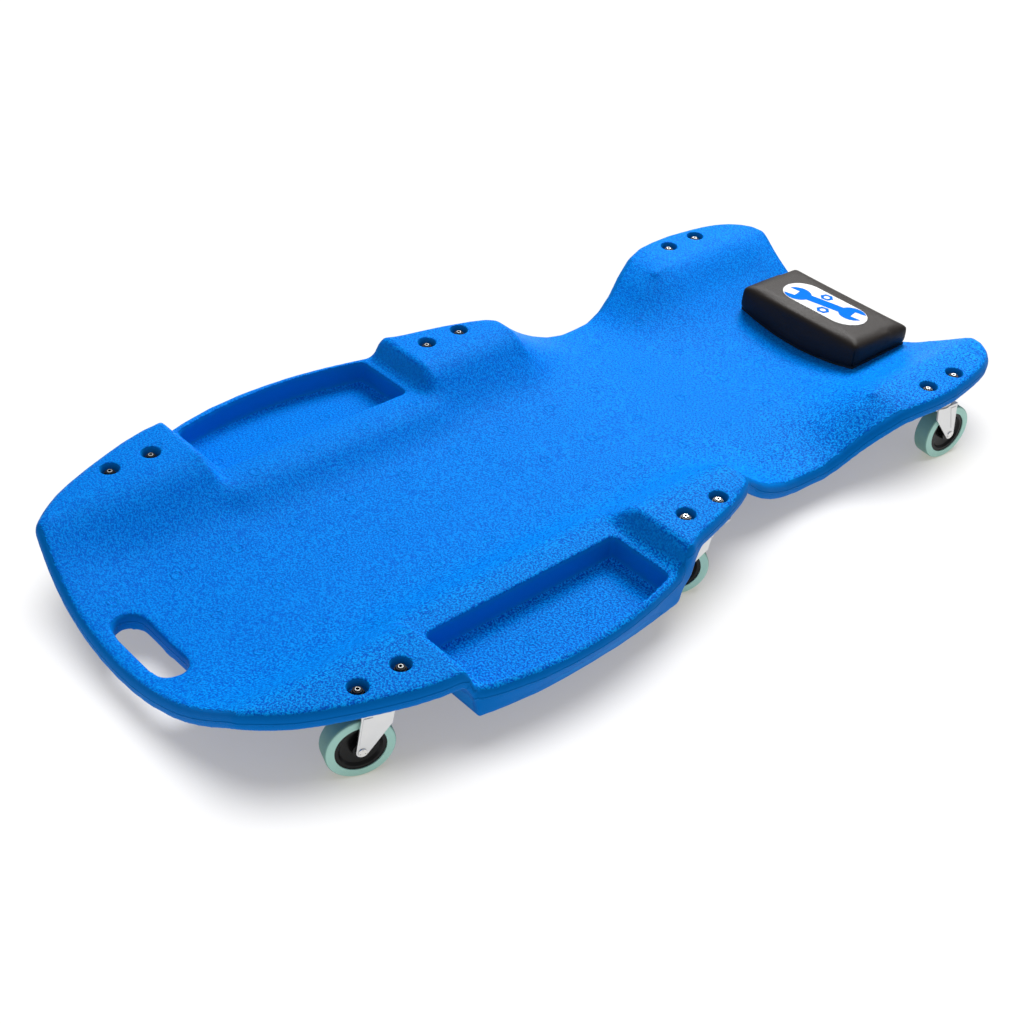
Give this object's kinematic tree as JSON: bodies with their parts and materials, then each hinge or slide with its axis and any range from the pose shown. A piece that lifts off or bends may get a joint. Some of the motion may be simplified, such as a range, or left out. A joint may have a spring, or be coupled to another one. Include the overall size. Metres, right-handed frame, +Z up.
{
  "type": "mechanics creeper",
  "caption": "Low contoured moulded creeper board with side tool trays, front hand slot, raised headrest cushion and ball-bearing swivel casters.",
  "frame": {"origin": "centre of the bounding box on the floor plane, wheels resting on the floor", "axes": "+Y from the foot end with the hand slot to the head end with the headrest, +X to the right side, +Z up"},
  "size_m": [0.5204, 1.0099, 0.102],
  "materials": {
    "deck_blue": "pebbled moulded polyethylene",
    "cushion_vinyl": "grained vinyl over foam",
    "board_black": "moulded",
    "screw_steel": "zinc plated",
    "bolt_zinc": "zinc plated",
    "washer_black": "black oxide",
    "nut_black": "black oxide",
    "zinc_plate": "zinc plated, pressed",
    "bearing_steel": "ground",
    "rivet_steel": "zinc plated",
    "fork_zinc": "pale zinc plated, pressed",
    "axle_steel": "zinc plated",
    "hub_black": "moulded, satin",
    "tyre_green": "soft tread, pale sea green"
  },
  "bodies": {
    "creeper": {"deck": "deck_blue", "headrest_cushion": "cushion_vinyl", "headrest_board": "board_black", "headrest_screws": "screw_steel", "caster_bolts": "bolt_zinc", "caster_washers": "washer_black", "caster_nuts": "nut_black", "foot_left_plate": "zinc_plate", "foot_left_bearing": "bearing_steel", "foot_left_kingpin": "rivet_steel", "foot_right_plate": "zinc_plate", "foot_right_bearing": "bearing_steel", "foot_right_kingpin": "rivet_steel", "middle_left_plate": "zinc_plate", "middle_left_bearing": "bearing_steel", "middle_left_kingpin": "rivet_steel", "middle_right_plate": "zinc_plate", "middle_right_bearing": "bearing_steel", "middle_right_kingpin": "rivet_steel", "head_left_plate": "zinc_plate", "head_left_bearing": "bearing_steel", "head_left_kingpin": "rivet_steel", "head_right_plate": "zinc_plate", "head_right_bearing": "bearing_steel", "head_right_kingpin": "rivet_steel"},
    "foot_left_swivel": {"foot_left_fork": "fork_zinc", "foot_left_axle": "axle_steel", "foot_left_bushing": "axle_steel"},
    "foot_left_wheel": {"foot_left_hub": "hub_black", "foot_left_tyre": "tyre_green"},
    "foot_right_swivel": {"foot_right_fork": "fork_zinc", "foot_right_axle": "axle_steel", "foot_right_bushing": "axle_steel"},
    "foot_right_wheel": {"foot_right_hub": "hub_black", "foot_right_tyre": "tyre_green"},
    "middle_left_swivel": {"middle_left_fork": "fork_zinc", "middle_left_axle": "axle_steel", "middle_left_bushing": "axle_steel"},
    "middle_left_wheel": {"middle_left_hub": "hub_black", "middle_left_tyre": "tyre_green"},
    "middle_right_swivel": {"middle_right_fork": "fork_zinc", "middle_right_axle": "axle_steel", "middle_right_bushing": "axle_steel"},
    "middle_right_wheel": {"middle_right_hub": "hub_black", "middle_right_tyre": "tyre_green"},
    "head_left_swivel": {"head_left_fork": "fork_zinc", "head_left_axle": "axle_steel", "head_left_bushing": "axle_steel"},
    "head_left_wheel": {"head_left_hub": "hub_black", "head_left_tyre": "tyre_green"},
    "head_right_swivel": {"head_right_fork": "fork_zinc", "head_right_axle": "axle_steel", "head_right_bushing": "axle_steel"},
    "head_right_wheel": {"head_right_hub": "hub_black", "head_right_tyre": "tyre_green"}
  },
  "joints": [
    {"name": "foot_left_turn", "type": "hinge", "parent": "creeper", "child": "foot_left_swivel", "pos_m": [-0.1935, -0.367, 0.07], "axis": [0, 0, 1], "continuous": true},
    {"name": "foot_left_roll", "type": "hinge", "parent": "foot_left_swivel", "child": "foot_left_wheel", "pos_m": [-0.19614, -0.38582, 0.03175], "axis": [-0.9903, 0.1392, 0], "continuous": true},
    {"name": "foot_right_turn", "type": "hinge", "parent": "creeper", "child": "foot_right_swivel", "pos_m": [0.1935, -0.367, 0.07], "axis": [0, 0, 1], "continuous": true},
    {"name": "foot_right_roll", "type": "hinge", "parent": "foot_right_swivel", "child": "foot_right_wheel", "pos_m": [0.18731, -0.38496, 0.03175], "axis": [-0.9455, 0.3256, 0], "continuous": true},
    {"name": "middle_left_turn", "type": "hinge", "parent": "creeper", "child": "middle_left_swivel", "pos_m": [-0.1935, 0.021, 0.07], "axis": [0, 0, 1], "continuous": true},
    {"name": "middle_left_roll", "type": "hinge", "parent": "middle_left_swivel", "child": "middle_left_wheel", "pos_m": [-0.19745, 0.00242, 0.03175], "axis": [-0.9781, 0.2079, 0], "continuous": true},
    {"name": "middle_right_turn", "type": "hinge", "parent": "creeper", "child": "middle_right_swivel", "pos_m": [0.1935, 0.021, 0.07], "axis": [0, 0, 1], "continuous": true},
    {"name": "middle_right_roll", "type": "hinge", "parent": "middle_right_swivel", "child": "middle_right_wheel", "pos_m": [0.18315, 0.00507, 0.03175], "axis": [-0.8387, 0.5446, 0], "continuous": true},
    {"name": "head_left_turn", "type": "hinge", "parent": "creeper", "child": "head_left_swivel", "pos_m": [-0.1935, 0.3945, 0.07], "axis": [0, 0, 1], "continuous": true},
    {"name": "head_left_roll", "type": "hinge", "parent": "head_left_swivel", "child": "head_left_wheel", "pos_m": [-0.19516, 0.41343, 0.03175], "axis": [0.9962, 0.0872, 0], "continuous": true},
    {"name": "head_right_turn", "type": "hinge", "parent": "creeper", "child": "head_right_swivel", "pos_m": [0.1935, 0.3945, 0.07], "axis": [0, 0, 1], "continuous": true},
    {"name": "head_right_roll", "type": "hinge", "parent": "head_right_swivel", "child": "head_right_wheel", "pos_m": [0.19582, 0.41336, 0.03175], "axis": [0.9925, -0.1219, 0], "continuous": true}
  ]
}
